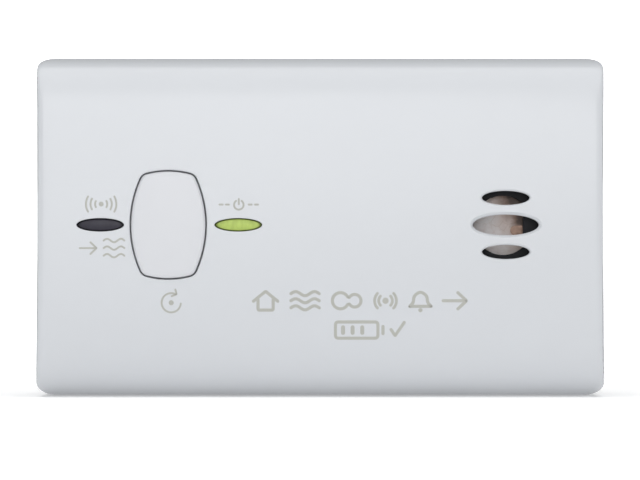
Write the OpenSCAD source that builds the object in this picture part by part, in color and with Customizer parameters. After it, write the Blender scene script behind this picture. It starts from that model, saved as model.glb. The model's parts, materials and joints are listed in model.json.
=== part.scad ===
// Battery-powered carbon monoxide detector for a wall or a table top.
// Units are millimetres. +Z is up, -Y is the front, +Y is the wall side.
// The origin is at the centre of the base.

/* [Housing] */
// Width across the side walls
body_w = 114.3; // [112:0.1:118]
// Height from the base to the top
body_h = 68.4; // [68:0.1:72]
// Depth from the wall to the face of the test button
body_d = 38.1; // [38:0.1:40]
// Wall thickness of the front cover and the back case
wall = 2.2; // [1.8:0.1:2.4]
// Corner radius seen from the front
corner_r = 4; // [3.5:0.5:6]
// Depth over which the top and the bottom roll back
crown_d = 18; // [17:0.5:20]
// Exponent of the roll-over curve, where more is flatter
crown_p = 10; // [8:1:14]
// How far the front face bows back between its middle and its upper and lower edges
crown_bow = 1.5; // [0:0.1:2.5]
// How far each side wall flares out behind the front face
side_flare = 0.95; // [0.5:0.05:1.2]
// Radius along the two upright front edges
edge_r = 1.2; // [0.8:0.1:2]

/* [Controls] */
// Width of the test button at mid height
button_w = 14.7; // [14:0.1:16]
// Height of the test button
button_h = 21.1; // [20:0.1:22]
// Gap between the button and the cover
button_gap = 0.3; // [0.25:0.05:0.4]
// How far the button moves when it is pressed
button_travel = 0.5; // [0.3:0.1:0.6]
// Length of each indicator lens
lens_w = 9.1; // [8:0.1:10]
// Height of each indicator lens
lens_h = 2.35; // [2.2:0.05:3.2]
// Gap between each lens and the cover
lens_gap = 0.15; // [0.1:0.05:0.3]

/* [Vents] */
// Length and height of the middle vent
vent_mid = [13.4, 4.5]; // [3:0.1:14]
// Length and height of the upper and lower vents
vent_end = [9.6, 3.1]; // [2.5:0.1:10]
// Distance between vent centres
vent_pitch = 5.35; // [5:0.05:6]

/* [Power] */
// Diameter of an AA cell
cell_d = 14.3; // [14:0.1:14.5]
// Length of an AA cell with its positive tip
cell_l = 50.2; // [49.5:0.1:50.5]
// Distance between the axes of neighbouring cells
cell_pitch = 15.2; // [15:0.1:15.4]

/* [Mounting] */
// Distance between the two wall screws
screw_spacing = 88; // [86:1:90]
// Radius of the wall screw holes
screw_hole_r = 2.25; // [2:0.05:2.5]
// How far the alarm lifts to come off the bracket
lift = 6; // [5.5:0.5:6.5]

/* [Hidden] */

button_proud = 0.4;
front_y = -body_d / 2 + button_proud;  // outer face of the cover
inner_y = front_y + wall;              // inner face of the cover
split_y = 8;                           // parting line of cover and case
wall_y = body_d / 2;                   // plane of the wall
rear_y = wall_y - 0.3;                 // rearmost face of the case
plate_y = wall_y - 2.6;                // front face of the bracket plate
recess_y = plate_y - 0.3;              // floor of the recess that holds the bracket
back_y = recess_y - 2;                 // inner face of the back wall
mid_z = body_h / 2;
face_z = mid_z;                        // line on which button, lenses and vents sit
flare_d = 22;                          // depth at which the side walls reach full width

board_t = 1.6;
board_rear_y = -1.5;
board_y = board_rear_y - board_t;      // component side of the circuit board
board_size = [103, 56];
board_notch = 9.5;

button_x = -30.05;
alarm_x = -43.5;
operate_x = -16.2;
vent_x = 36.7;
horn_x = 36.3;
sensor_x = 5;
button_side_r = 22;
button_end_r = 17;
button_corner_r = 1.7;
button_rim = 0.8;
flange_y = inner_y + 0.5;              // front of the button's and lenses' flanges
plunger_tip_y = board_y - 7;

case_screw_at = [for (x = [-48.5, 48.5], z = [8.5, body_h - 8.5]) [x, z]];
board_screw_at = [for (x = [-38, 31], z = [12, body_h - 12]) [x, z]];
well_y = 4;                            // where the case wells meet the cover posts
well_r = 4.4;
well_bore_r = 3;
well_seat = 1.5;                       // floor of the well, on which the screw head sits
post_r = 3.25;
post_bore_r = 1.5;
post_bore_l = 12.5;
board_post_r = 2.6;
board_post_bore_r = 1.25;
board_post_bore_l = 7;
spigot_gap = 0.15;                     // between the tongue of the case and the cover
spigot_t = 1.2;

bay_x = [-32.8, 24.8];
bay_half_z = 1.5 * cell_pitch + 0.4;
bay_floor_y = 1.1;
bay_wall = 1.6;
cell_y = bay_floor_y + 0.25 + cell_d / 2;
contact_t = 0.4;
tab_slot = 0.8;                        // slot in the bay floor for a terminal tab
tab_overcut = 0.01;

hook_x = screw_spacing / 2;
hook_z = [20, 50];
hook_size = [6, 2.5];
hook_gap = 0.3;
lip_h = 3;
screw_z = 36.5;
head_seat_r = 4.2;                     // counterbore for the head of a wall screw
head_clear_r = 4.8;
recess_w = 100.8;
recess_z = [3.2, body_h - 2.9];
plate_gap = 0.4;                       // between the bracket plate and the ends of the recess
plate_size = [100, recess_z[1] - recess_z[0] - lift - 2 * plate_gap];
plate_z = recess_z[1] - plate_gap - plate_size[1] / 2;
panel_size = [24, 44];                 // shallow panels on the wall side of the plate
panel_x = 22;
slot_pitch = 5;                        // air slots in the side walls
slot_h = 1.6;

horn_r = 13;
horn_port_r = 5.9;
horn_port_cut = 4;                     // distance from the axis to the flat of the D
horn_front_y = -15.2;
piezo_y = -12.2;                       // front of the brass plate
horn_pin_x = -8;

led_leads_at = [for (x = [alarm_x, operate_x], s = [-1.27, 1.27]) [x + s, face_z]];
cap_at = [-26, 12];
chip_at = [-6, 54];
chip_size = [12.8, 7.5];
inductor_at = [17, 14];
sensor_pins_at = [for (a = [90, 210, 330]) [sensor_x + 6 * cos(a), face_z + 6 * sin(a)]];
switch_legs_at = [for (x = [-3.3, 3.3], z = [-2.25, 2.25]) [button_x + x, face_z + z]];
cap_leads_at = [for (s = [-1.25, 1.25]) [cap_at[0] + s, cap_at[1]]];
lead_r = 0.28;
terminal_z = [mid_z + cell_pitch, mid_z - cell_pitch];  // negative at the left, positive at the right

// ---------- helpers ----------

// Extrudes a shape seen from the front between two depths
module along_y(y0, y1) {
    translate([0, y1, 0]) rotate([90, 0, 0]) linear_extrude(y1 - y0) children();
}

// Extrudes a side view, drawn as [y, z], over a width centred on x = 0
module across_x(w) {
    translate([-w / 2, 0, 0]) rotate([90, 0, 90]) linear_extrude(w) children();
}

// Round bar along Y through [x, z]
module bar_y(at, r, y0, y1, fn = 40) {
    translate([at[0], y1, at[1]]) rotate([90, 0, 0]) cylinder(h = y1 - y0, r = r, $fn = fn);
}

// Block given by its three ranges
module block(x, y, z) {
    translate([x[0], y[0], z[0]]) cube([x[1] - x[0], y[1] - y[0], z[1] - z[0]]);
}

module rounded_rect(w, h, r) {
    square([w - 2 * r, h], center = true);
    square([w, h - 2 * r], center = true);
    for (x = [-1, 1], y = [-1, 1]) translate([x * (w / 2 - r), y * (h / 2 - r)]) circle(r, $fn = 48);
}

function arc(c, r, a0, a1, n) =
    [for (i = [0:n]) let (a = a0 + (a1 - a0) * i / n) c + r * [cos(a), sin(a)]];

module ellipse(w, h) {
    polygon([for (i = [0:39]) [w / 2 * cos(9 * i), h / 2 * sin(9 * i)]]);
}

// Where two circles meet, on the left of the line from c0 to c1
function meet(c0, r0, c1, r1) =
    let (
        d = norm(c1 - c0),
        u = (c1 - c0) / d,
        a = (r0 * r0 - r1 * r1 + d * d) / (2 * d),
        h = sqrt(r0 * r0 - a * a)
    ) c0 + a * u + h * [-u[1], u[0]];

function angle_of(v) = atan2(v[1], v[0]);

// Upper right quarter of the barrel outline of the button
function barrel_quarter(a, b, side_r, end_r, r) =
    let (
        c_side = [a - side_r, 0],
        c_end = [0, b - end_r],
        c = meet(c_side, side_r - r, c_end, end_r - r),
        t_side = angle_of(c - c_side),
        t_end = angle_of(c - c_end)
    ) concat(
        arc(c_side, side_r, 0, t_side, 6),
        [for (i = [1:4]) let (t = t_side + (t_end - t_side) * i / 5) c + r * [cos(t), sin(t)]],
        arc(c_end, end_r, t_end, 90, 5)
    );

function reverse(v) = [for (i = [len(v) - 1:-1:0]) v[i]];
function tail(v) = [for (i = [1:len(v) - 1]) v[i]];
function head(v) = [for (i = [0:len(v) - 2]) v[i]];

// Barrel outline, grown by g on every side
module barrel(g = 0) {
    q = barrel_quarter(button_w / 2 + g, button_h / 2 + g,
                       button_side_r + g, button_end_r + g, button_corner_r + g);
    half = concat(q, tail([for (p = reverse(q)) [-p[0], p[1]]]));
    polygon(concat(half, tail(head([for (p = reverse(half)) [p[0], -p[1]]]))));
}

// ---------- housing ----------

// Side view of the cover: flat in the middle, rolling back at the top and the bottom
module crown_profile(h, y0, d, n = 14) {
    curve = [for (i = [-n:n]) let (phi = 90 * abs(i) / n)
        let (u = pow(sin(phi), 2 / crown_p))
        [y0 + (d - crown_bow) * (1 - cos(phi)) + crown_bow * u * u, mid_z + sign(i) * u * h / 2]];
    polygon(concat(curve, [[split_y, mid_z + h / 2], [split_y, mid_z - h / 2]]));
}

// Top view of the cover: filleted front edges and side walls that flare towards the rear
module plan_profile(w, y0, r, n = 8) {
    right = concat(
        [[w / 2, split_y]],
        [for (i = [0:n]) let (t = flare_d + (r - flare_d) * i / n)
            [w / 2 - side_flare * pow((flare_d - t) / flare_d, 2), y0 + t]],
        tail(arc([w / 2 - side_flare * pow((flare_d - r) / flare_d, 2) - r, y0 + r], r, 0, -90, 6))
    );
    polygon(concat(right, reverse([for (p = right) [-p[0], p[1]]])));
}

module cover_block(inset) {
    y0 = front_y + inset;
    intersection() {
        across_x(body_w) crown_profile(body_h - 2 * inset, y0, crown_d - inset);
        linear_extrude(body_h) plan_profile(body_w - 2 * inset, y0, edge_r);
        along_y(y0 - 1, split_y) case_outline(inset);
    }
}

module vents() {
    for (i = [-1, 0, 1]) let (size = i == 0 ? vent_mid : vent_end)
        translate([vent_x, face_z + i * vent_pitch]) ellipse(size[0], size[1]);
}

module front_cover() {
    color("whitesmoke") difference() {
        union() {
            difference() {
                cover_block(0);
                cover_block(wall);
                along_y(split_y - 1, split_y + 1) case_outline(wall);
            }
            intersection() {
                cover_block(wall / 2);
                for (at = case_screw_at) bar_y(at, post_r, front_y, well_y);
            }
        }
        along_y(front_y - 1, inner_y + 1) {
            translate([button_x, face_z]) barrel(button_gap);
            for (x = [alarm_x, operate_x])
                translate([x, face_z]) ellipse(lens_w + 2 * lens_gap, lens_h + 2 * lens_gap);
            vents();
        }
        for (at = case_screw_at) bar_y(at, post_bore_r, well_y - post_bore_l, well_y + 1);
    }
}

// Outline of the housing seen from the front, inset on every side
module case_outline(inset = 0) {
    translate([0, mid_z]) rounded_rect(body_w - 2 * inset, body_h - 2 * inset, corner_r - inset / 2);
}

module case_shell() {
    difference() {
        along_y(split_y, rear_y) case_outline();
        along_y(split_y - 1, back_y) case_outline(wall);
        block([-recess_w / 2, recess_w / 2], [recess_y, rear_y + 1], recess_z);
    }
    // tongue that seats inside the cover, on a band that joins it to the wall
    difference() {
        union() {
            along_y(split_y - 2.5, split_y + 1) case_outline(wall + spigot_gap);
            along_y(split_y + 0.5, split_y + 2) case_outline(wall - 0.5);
        }
        along_y(split_y - 3, split_y + 3) case_outline(wall + spigot_gap + spigot_t);
    }
}

module back_case() {
    bay_mid_x = (bay_x[0] + bay_x[1]) / 2;
    bay_len = bay_x[1] - bay_x[0];
    color("whitesmoke") difference() {
        union() {
            case_shell();
            block([bay_x[0] - bay_wall, bay_x[1] + bay_wall], [bay_floor_y - bay_wall, back_y + 1],
                  [mid_z - bay_half_z - bay_wall, mid_z + bay_half_z + bay_wall]);
            for (at = case_screw_at) bar_y(at, well_r, well_y, back_y + 1);
            for (at = board_screw_at) bar_y(at, board_post_r, board_rear_y, back_y + 1);
        }
        // battery bay, open at the rear
        block(bay_x, [bay_floor_y, rear_y + 1], [mid_z - bay_half_z, mid_z + bay_half_z]);
        // slots in the bay floor for the two terminal tabs
        for (i = [0, 1])
            block(i == 0 ? [bay_x[0] - tab_overcut, bay_x[0] + tab_slot]
                         : [bay_x[1] - tab_slot, bay_x[1] + tab_overcut],
                  [bay_floor_y - bay_wall - 1, bay_floor_y + 1],
                  [terminal_z[i] - 1.5, terminal_z[i] + 1.5]);
        for (at = case_screw_at) {
            bar_y(at, well_bore_r, well_y + well_seat, rear_y + 1);
            bar_y(at, 1.6, well_y - 1, well_y + 2);
        }
        for (at = board_screw_at)
            bar_y(at, board_post_bore_r, board_rear_y - 1, board_rear_y + board_post_bore_l);
        // slots for the bracket hooks and windows for the heads of the wall screws
        for (x = [-hook_x, hook_x]) {
            half = hook_size[0] / 2 + hook_gap;
            for (z = hook_z)
                block([x - half, x + half], [back_y - 1, recess_y + 1], [z - lift - 0.2, z + hook_size[1] + 0.2]);
            block([x - head_clear_r, x + head_clear_r], [back_y - 1, recess_y + 1],
                  [screw_z - head_clear_r - lift, screw_z + head_clear_r]);
        }
        // air slots in the side walls
        for (s = [-1, 1], i = [-3:3])
            block([s * (body_w / 2 - wall / 2) - wall, s * (body_w / 2 - wall / 2) + wall],
                  [split_y + 2.2, back_y - 1],
                  [mid_z + slot_pitch * i - slot_h / 2, mid_z + slot_pitch * i + slot_h / 2]);
    }
    // thin ribs that keep the cells apart
    color("whitesmoke") for (s = [-1, 1])
        block([bay_mid_x - bay_len / 2 + 12, bay_mid_x + bay_len / 2 - 12],
              [bay_floor_y - 0.5, bay_floor_y + 4.5],
              [mid_z + s * cell_pitch / 2 - 0.25, mid_z + s * cell_pitch / 2 + 0.25]);
}

module bracket_hook(x, z) {
    half = hook_size[0] / 2;
    tip_y = back_y - 1.85;
    block([x - half, x + half], [tip_y, plate_y + 0.5], [z, z + hook_size[1]]);
    block([x - half, x + half], [tip_y, back_y - 0.3], [z, z + hook_size[1] + lip_h]);
}

module wall_bracket() {
    tongue_w = 12;
    tongue_z = [plate_z - plate_size[1] / 2 + 3, plate_z - plate_size[1] / 2 + 22];
    color("gainsboro") {
        difference() {
            along_y(plate_y, wall_y) translate([0, plate_z]) rounded_rect(plate_size[0], plate_size[1], 3);
            for (x = [-hook_x, hook_x]) {
                bar_y([x, screw_z], screw_hole_r, plate_y - 1, wall_y + 1, 64);
                bar_y([x, screw_z], head_seat_r, plate_y - 1, plate_y + 1.1, 64);
                // windows behind the hook lips
                for (z = hook_z)
                    block([x - hook_size[0] / 2, x + hook_size[0] / 2], [plate_y - 1, wall_y + 1],
                          [z + hook_size[1], z + hook_size[1] + lip_h + 1]);
            }
            // slit that frees the latch tongue on three sides
            for (s = [-1, 1])
                block([s * tongue_w / 2 - 0.5, s * tongue_w / 2 + 0.5], [plate_y - 1, wall_y + 1], tongue_z);
            block([-tongue_w / 2, tongue_w / 2], [plate_y - 1, wall_y + 1], [tongue_z[0], tongue_z[0] + 1]);
            // shallow panels moulded into the wall side
            for (x = [-panel_x, panel_x])
                along_y(wall_y - 0.9, wall_y + 1) translate([x, plate_z])
                    rounded_rect(panel_size[0], panel_size[1], 2.5);
        }
        for (x = [-hook_x, hook_x], z = hook_z) bracket_hook(x, z);
        // bump on the latch tongue
        block([-3, 3], [plate_y - 0.25, plate_y + 0.5], [tongue_z[0] + 1.6, tongue_z[0] + 3.6]);
    }
}

module test_button() {
    color("whitesmoke") translate([button_x, 0, face_z]) {
        difference() {
            union() {
                along_y(front_y - button_proud, flange_y + 1) barrel();
                along_y(flange_y, flange_y + 1.1) barrel(button_rim);
            }
            along_y(front_y - button_proud + 1.8, flange_y + 2) barrel(-1.5);
        }
        bar_y([0, 0], 2, front_y - button_proud + 1.7, plunger_tip_y - 0.05);
        // web that stiffens the stem
        block([-5.5, 5.5], [front_y - button_proud + 1.7, flange_y + 0.6], [-0.5, 0.5]);
    }
}

module lens(x) {
    translate([x, 0, face_z]) {
        along_y(front_y + 0.25, flange_y + 0.5) ellipse(lens_w, lens_h);
        along_y(flange_y, flange_y + 1) ellipse(lens_w + 1, lens_h + 2.2);
        bar_y([0, 0], 1.7, flange_y + 0.9, board_y - 7.2);
    }
}

module alarm_lens() { color([0.22, 0.2, 0.24]) lens(alarm_x); }
module operate_lens() { color([0.62, 0.78, 0.3]) lens(operate_x); }

// Pan head screw along Y whose point faces the front when dir is -1
module screw(at, seat_y, dir, head_r, head_h, shank_r, shank_l) {
    translate([at[0], seat_y, at[1]]) rotate([dir > 0 ? -90 : 90, 0, 0]) {
        translate([0, 0, -head_h / 3]) cylinder(h = shank_l + head_h / 3, r = shank_r, $fn = 32);
        difference() {
            translate([0, 0, -head_h]) cylinder(h = head_h, r = head_r, $fn = 40);
            for (a = [0, 90])
                rotate(a) translate([0, 0, -head_h]) cube([head_r * 1.2, 0.6, head_h], center = true);
        }
    }
}

module case_screws() {
    color("silver") for (at = case_screw_at)
        screw(at, well_y + well_seat, -1, 2.7, 1.9, post_bore_r - 0.05, 12);
}

// ---------- electronics ----------

module circuit_board() {
    half = board_size / 2;
    color("darkgreen") difference() {
        along_y(board_y, board_rear_y) translate([0, mid_z]) difference() {
            rounded_rect(board_size[0], board_size[1], 1.5);
            for (x = [-1, 1], z = [-1, 1])
                translate([x * half[0], z * half[1]]) square(2 * board_notch, center = true);
        }
        for (at = board_screw_at) bar_y(at, 1.5, board_y - 1, board_rear_y + 1);
        for (at = concat(led_leads_at, cap_leads_at, sensor_pins_at, switch_legs_at))
            bar_y(at, 0.6, board_y - 1, board_rear_y + 1, 24);
        for (i = [0, 1]) let (x = i == 0 ? bay_x[0] + 0.4 : bay_x[1] - 0.4)
            block([x - 0.6, x + 0.6], [board_y - 1, board_rear_y + 1],
                  [terminal_z[i] - 1.5, terminal_z[i] + 1.5]);
        block([horn_x + 11.5, horn_x + 12.3], [board_y - 1, board_rear_y + 1], [face_z - 2.2, face_z + 0.2]);
    }
}

module board_screws() {
    color("silver") for (at = board_screw_at) screw(at, board_y, 1, 2.4, 1.6, 1.2, 7);
}

module red_led() { color([0.75, 0.12, 0.1]) led(alarm_x); }
module green_led() { color([0.35, 0.8, 0.3]) led(operate_x); }

module led(x) {
    y = board_y - 1.6;
    bar_y([x, face_z], 1.9, y - 1, y);
    bar_y([x, face_z], 1.5, y - 3.6, y - 1);
    translate([x, y - 3.6, face_z]) sphere(1.5, $fn = 32);
}

module led_spacers() {
    color("dimgray") for (x = [alarm_x, operate_x]) difference() {
        bar_y([x, face_z], 2, board_y - 1.6, board_y);
        for (s = [-1.27, 1.27]) bar_y([x + s, face_z], lead_r + 0.1, board_y - 2, board_y + 1, 16);
    }
}

module led_leads() {
    color("silver") for (at = led_leads_at) bar_y(at, lead_r, board_y - 1.6, board_rear_y + 0.6, 16);
}

module switch_base() {
    color("dimgray") difference() {
        block([button_x - 3, button_x + 3], [board_y - 3.1, board_y], [face_z - 3, face_z + 3]);
        bar_y([button_x, face_z], 2.3, board_y - 4, board_y - 0.8);
    }
}

module switch_frame() {
    y = board_y - 3.1;
    color("silver") {
        difference() {
            block([button_x - 3.3, button_x + 3.3], [y - 0.3, y], [face_z - 3, face_z + 3]);
            bar_y([button_x, face_z], 1.85, y - 1, y + 1);
        }
        for (s = [-1, 1])
            block([button_x + s * 3.15 - 0.15, button_x + s * 3.15 + 0.15], [y - 0.3, y + 1.6],
                  [face_z - 1.2, face_z + 1.2]);
    }
}

module switch_plunger() {
    color("black") {
        bar_y([button_x, face_z], 1.75, plunger_tip_y, board_y - 2.9);
        bar_y([button_x, face_z], 2.15, board_y - 3.05, board_y - 2.2);
    }
}

module switch_legs() {
    color("silver") for (at = switch_legs_at) bar_y(at, lead_r, board_y - 1.4, board_rear_y + 0.6, 16);
}

// Cup of the piezo horn, open at the rear, with a D-shaped sound port
module horn_housing() {
    c = [horn_x, face_z];
    color([0.08, 0.08, 0.09]) difference() {
        bar_y(c, horn_r, horn_front_y, board_y, 96);
        bar_y(c, 10.2, horn_front_y + 1.6, board_y + 1, 96);
        bar_y(c, 11.2, piezo_y, board_y + 1, 96);
        along_y(horn_front_y - 1, horn_front_y + 2) translate(c) intersection() {
            circle(horn_port_r, $fn = 72);
            translate([-horn_port_r, -horn_port_r]) square([horn_port_r + horn_port_cut, 2 * horn_port_r]);
        }
        // channel for the contact finger
        block([horn_x + 9.2, horn_x + 12.3], [piezo_y - 0.9, board_y + 1], [face_z - 2.2, face_z + 0.2]);
    }
}

module horn_gasket() {
    color("dimgray") difference() {
        bar_y([horn_x, face_z], 11.1, piezo_y + 0.3, piezo_y + 1.6, 72);
        bar_y([horn_x, face_z], 9.4, piezo_y - 1, piezo_y + 2, 72);
    }
}

module piezo_plate() { color("goldenrod") bar_y([horn_x, face_z], 11, piezo_y, piezo_y + 0.3, 96); }
module piezo_ceramic() { color("tan") bar_y([horn_x, face_z], 8.5, piezo_y - 0.3, piezo_y, 96); }

// Sprung finger that presses on the ceramic and runs down into the board
module horn_contact() {
    z = face_z - 1;
    y = piezo_y - 0.6;
    color("peru") {
        block([horn_x + 2.6, horn_x + 12], [y, y + 0.3], [z - 1, z + 1]);
        bar_y([horn_x + 2.6, z], 1, y, y + 0.3);
        block([horn_x + 11.7, horn_x + 12], [y, board_rear_y + 0.5], [z - 1, z + 1]);
    }
}

module horn_pin() { color("silver") bar_y([horn_x + horn_pin_x, face_z], 0.5, piezo_y + 0.3, board_y, 24); }

module sensor_base() {
    c = [sensor_x, face_z];
    color("white") {
        bar_y(c, 9.2, board_y - 5, board_y - 0.8, 72);
        for (a = [30, 150, 270]) bar_y(c + 7 * [cos(a), sin(a)], 1, board_y - 0.9, board_y, 24);
    }
}

module sensor_can() {
    c = [sensor_x, face_z];
    color("silver") difference() {
        union() {
            bar_y(c, 9, board_y - 6, board_y - 5, 72);
            bar_y(c, 8.4, board_y - 11.2, board_y - 6, 72);
        }
        bar_y(c, 3.2, board_y - 12, board_y - 10.4, 48);
        bar_y(c, 1.2, board_y - 12, board_y - 8.5, 32);
    }
}

module sensor_filter() {
    color([0.15, 0.15, 0.15]) bar_y([sensor_x, face_z], 3.1, board_y - 10.9, board_y - 10.4, 48);
}

module sensor_pins() {
    color("gold") for (at = sensor_pins_at) bar_y(at, 0.45, board_y - 0.8, board_rear_y + 0.6, 20);
}

module microcontroller() {
    half = chip_size / 2;
    color([0.12, 0.12, 0.13]) difference() {
        block([chip_at[0] - half[0], chip_at[0] + half[0]], [board_y - 2.5, board_y - 0.2],
              [chip_at[1] - half[1], chip_at[1] + half[1]]);
        bar_y([chip_at[0] - half[0] + 1.4, chip_at[1] - half[1] + 1.4], 0.6, board_y - 3, board_y - 2.35, 24);
    }
}

module microcontroller_leads() {
    color("silver") for (i = [0:9], s = [-1, 1]) {
        x = chip_at[0] + (i - 4.5) * 1.27;
        z = chip_at[1] + s * (chip_size[1] / 2 + 0.6);
        block([x - 0.2, x + 0.2], [board_y - 0.2, board_y], [z - 0.6, z + 0.6]);
        block([x - 0.2, x + 0.2], [board_y - 1.4, board_y - 0.1], [z - s * 0.48 - 0.12, z - s * 0.48 + 0.12]);
    }
}

module capacitor() {
    color([0.1, 0.12, 0.3]) difference() {
        bar_y(cap_at, 3.15, board_y - 9.2, board_y - 0.2, 48);
        for (a = [45, 135])
            translate([cap_at[0], board_y - 9.2, cap_at[1]]) rotate([0, a, 0])
                cube([4.4, 0.3, 0.25], center = true);
    }
}

module capacitor_leads() {
    color("silver") for (at = cap_leads_at) bar_y(at, lead_r, board_y - 0.2, board_rear_y + 0.6, 16);
}

module inductor_core() {
    color([0.2, 0.2, 0.21]) {
        bar_y(inductor_at, 4.2, board_y - 8, board_y - 6.8, 48);
        bar_y(inductor_at, 2, board_y - 7, board_y - 1, 32);
        bar_y(inductor_at, 4.2, board_y - 1.2, board_y, 48);
    }
}

module inductor_winding() {
    color("orangered") difference() {
        bar_y(inductor_at, 3.7, board_y - 6.7, board_y - 1.3, 48);
        bar_y(inductor_at, 2.05, board_y - 7, board_y - 1, 32);
    }
}

// Row of n small chips, each w by h and t high, spaced along X
module chip_row(at, n, pitch, w, h, t) {
    for (i = [0:n - 1]) let (x = at[0] + i * pitch)
        block([x - w / 2, x + w / 2], [board_y - t, board_y], [at[1] - h / 2, at[1] + h / 2]);
}

module chip_resistors() {
    color([0.15, 0.15, 0.16]) {
        chip_row([-48, 48], 3, 3.2, 2, 1.25, 0.55);
        chip_row([-30, 56], 5, 3.2, 2, 1.25, 0.55);
        chip_row([-12, 13], 5, 3.2, 2, 1.25, 0.55);
    }
}

module chip_capacitors() {
    color([0.6, 0.48, 0.32]) {
        chip_row([-30, 51], 4, 3.4, 2, 1.3, 0.9);
        chip_row([-12, 17], 3, 3.4, 2, 1.3, 0.9);
        chip_row([8, 54], 4, 3.4, 2, 1.3, 0.9);
    }
}

module transistor() {
    color([0.12, 0.12, 0.13]) block([25, 28], [board_y - 1.1, board_y], [48.5, 50]);
}

// ---------- batteries ----------

// AA cell number i, from the top; the middle one faces the other way
module battery(i) {
    tip_dir = i == 1 ? -1 : 1;
    tip_x = tip_dir > 0 ? bay_x[1] - contact_t - 0.05 : bay_x[0] + contact_t + 0.05;
    color([0.25, 0.27, 0.3])
        translate([tip_x, cell_y, mid_z + (1 - i) * cell_pitch]) rotate([0, -90 * tip_dir, 0]) {
            cylinder(h = 1.5, r = 2.7, $fn = 32);
            translate([0, 0, 1]) cylinder(h = cell_l - 1.3, r = cell_d / 2, $fn = 72);
            translate([0, 0, cell_l - 0.5]) cylinder(h = 0.5, r = 5.2, $fn = 48);
        }
}

module battery_1() { battery(0); }
module battery_2() { battery(1); }
module battery_3() { battery(2); }

// Conical coil spring along +X from x = 0, as one swept tube
module coil(len, r0, r1, turns, wire_r) {
    per_turn = 16;
    sides = 8;
    n = turns * per_turn;
    function centre(i) = let (a = 360 * i / per_turn, r = r0 + (r1 - r0) * i / n)
        [wire_r + (len - 2 * wire_r) * i / n, r * cos(a), r * sin(a)];
    function ring(i) = let (a = 360 * i / per_turn, c = centre(i))
        [for (j = [0:sides - 1]) let (b = 360 * j / sides)
            c + wire_r * [sin(b), cos(b) * cos(a), cos(b) * sin(a)]];
    points = [for (i = [0:n]) each ring(i)];
    sides_of = [for (i = [0:n - 1], j = [0:sides - 1]) let (k = (j + 1) % sides)
        [i * sides + j, i * sides + k, (i + 1) * sides + k, (i + 1) * sides + j]];
    polyhedron(points, concat(
        sides_of,
        [[for (j = [sides - 1:-1:0]) j]],
        [[for (j = [0:sides - 1]) n * sides + j]]
    ));
}

module battery_spring(i) {
    at_left = i != 1;
    x = at_left ? bay_x[0] + contact_t : bay_x[1] - contact_t;
    gap = bay_x[1] - bay_x[0] - 2 * contact_t - 0.05 - cell_l;
    color("silver") translate([x, cell_y, mid_z + (1 - i) * cell_pitch])
        rotate([0, 0, at_left ? 0 : 180]) coil(gap, 4.4, 3, 4, 0.4);
}

module battery_spring_1() { battery_spring(0); }
module battery_spring_2() { battery_spring(1); }
module battery_spring_3() { battery_spring(2); }

// Contact plate against one end wall of the bay, over a range of Z
module contact_plate(left, z) {
    x = left ? [bay_x[0], bay_x[0] + contact_t] : [bay_x[1] - contact_t, bay_x[1]];
    block(x, [bay_floor_y + 0.1, bay_floor_y + 12.4], z);
}

module terminal(left, z) {
    x = left ? [bay_x[0], bay_x[0] + contact_t] : [bay_x[1] - contact_t, bay_x[1]];
    contact_plate(left, [z - 5.6, z + 5.6]);
    block(x, [board_y - 0.5, bay_floor_y + 0.5], [z - 1.2, z + 1.2]);
}

module negative_terminal() { color("silver") terminal(true, terminal_z[0]); }
module positive_terminal() { color("silver") terminal(false, terminal_z[1]); }
module left_link() { color("silver") contact_plate(true, [mid_z - cell_pitch - 5.6, mid_z + 5.6]); }
module right_link() { color("silver") contact_plate(false, [mid_z - 5.6, mid_z + cell_pitch + 5.6]); }

front_cover();
back_case();
wall_bracket();
test_button();
alarm_lens();
operate_lens();
case_screws();
circuit_board();
board_screws();
horn_housing();
horn_gasket();
piezo_plate();
piezo_ceramic();
horn_contact();
horn_pin();
sensor_base();
sensor_can();
sensor_filter();
sensor_pins();
red_led();
green_led();
led_spacers();
led_leads();
switch_base();
switch_frame();
switch_plunger();
switch_legs();
microcontroller();
microcontroller_leads();
capacitor();
capacitor_leads();
inductor_core();
inductor_winding();
chip_resistors();
chip_capacitors();
transistor();
battery_1();
battery_2();
battery_3();
battery_spring_1();
battery_spring_2();
battery_spring_3();
negative_terminal();
positive_terminal();
left_link();
right_link();
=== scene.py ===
"""Looks of a battery-powered carbon monoxide detector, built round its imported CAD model."""
import json
import math

import bmesh
import bpy
import numpy as np
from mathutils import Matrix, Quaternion, Vector
from mathutils.geometry import delaunay_2d_cdt


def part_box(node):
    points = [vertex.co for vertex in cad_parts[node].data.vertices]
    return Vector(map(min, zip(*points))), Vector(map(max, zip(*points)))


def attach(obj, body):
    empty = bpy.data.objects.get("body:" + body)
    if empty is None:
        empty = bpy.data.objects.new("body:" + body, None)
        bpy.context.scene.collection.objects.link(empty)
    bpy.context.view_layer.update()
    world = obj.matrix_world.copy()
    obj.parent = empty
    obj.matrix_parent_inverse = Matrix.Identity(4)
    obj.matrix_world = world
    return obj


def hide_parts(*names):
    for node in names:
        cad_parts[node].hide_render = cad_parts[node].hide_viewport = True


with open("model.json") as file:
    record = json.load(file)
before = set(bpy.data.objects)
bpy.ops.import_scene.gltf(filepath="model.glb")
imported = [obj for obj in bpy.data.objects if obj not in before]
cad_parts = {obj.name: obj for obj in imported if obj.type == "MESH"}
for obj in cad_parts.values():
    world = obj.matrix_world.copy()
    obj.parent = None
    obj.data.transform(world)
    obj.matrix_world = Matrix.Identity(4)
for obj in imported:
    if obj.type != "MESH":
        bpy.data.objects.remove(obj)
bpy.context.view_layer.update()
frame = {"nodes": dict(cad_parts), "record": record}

NODES = frame["nodes"]
MM = 0.001


def box_mm(node):
    lo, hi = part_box(node)
    return np.array(lo) / MM, np.array(hi) / MM


# ---------- dimensions, in millimetres ----------

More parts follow.
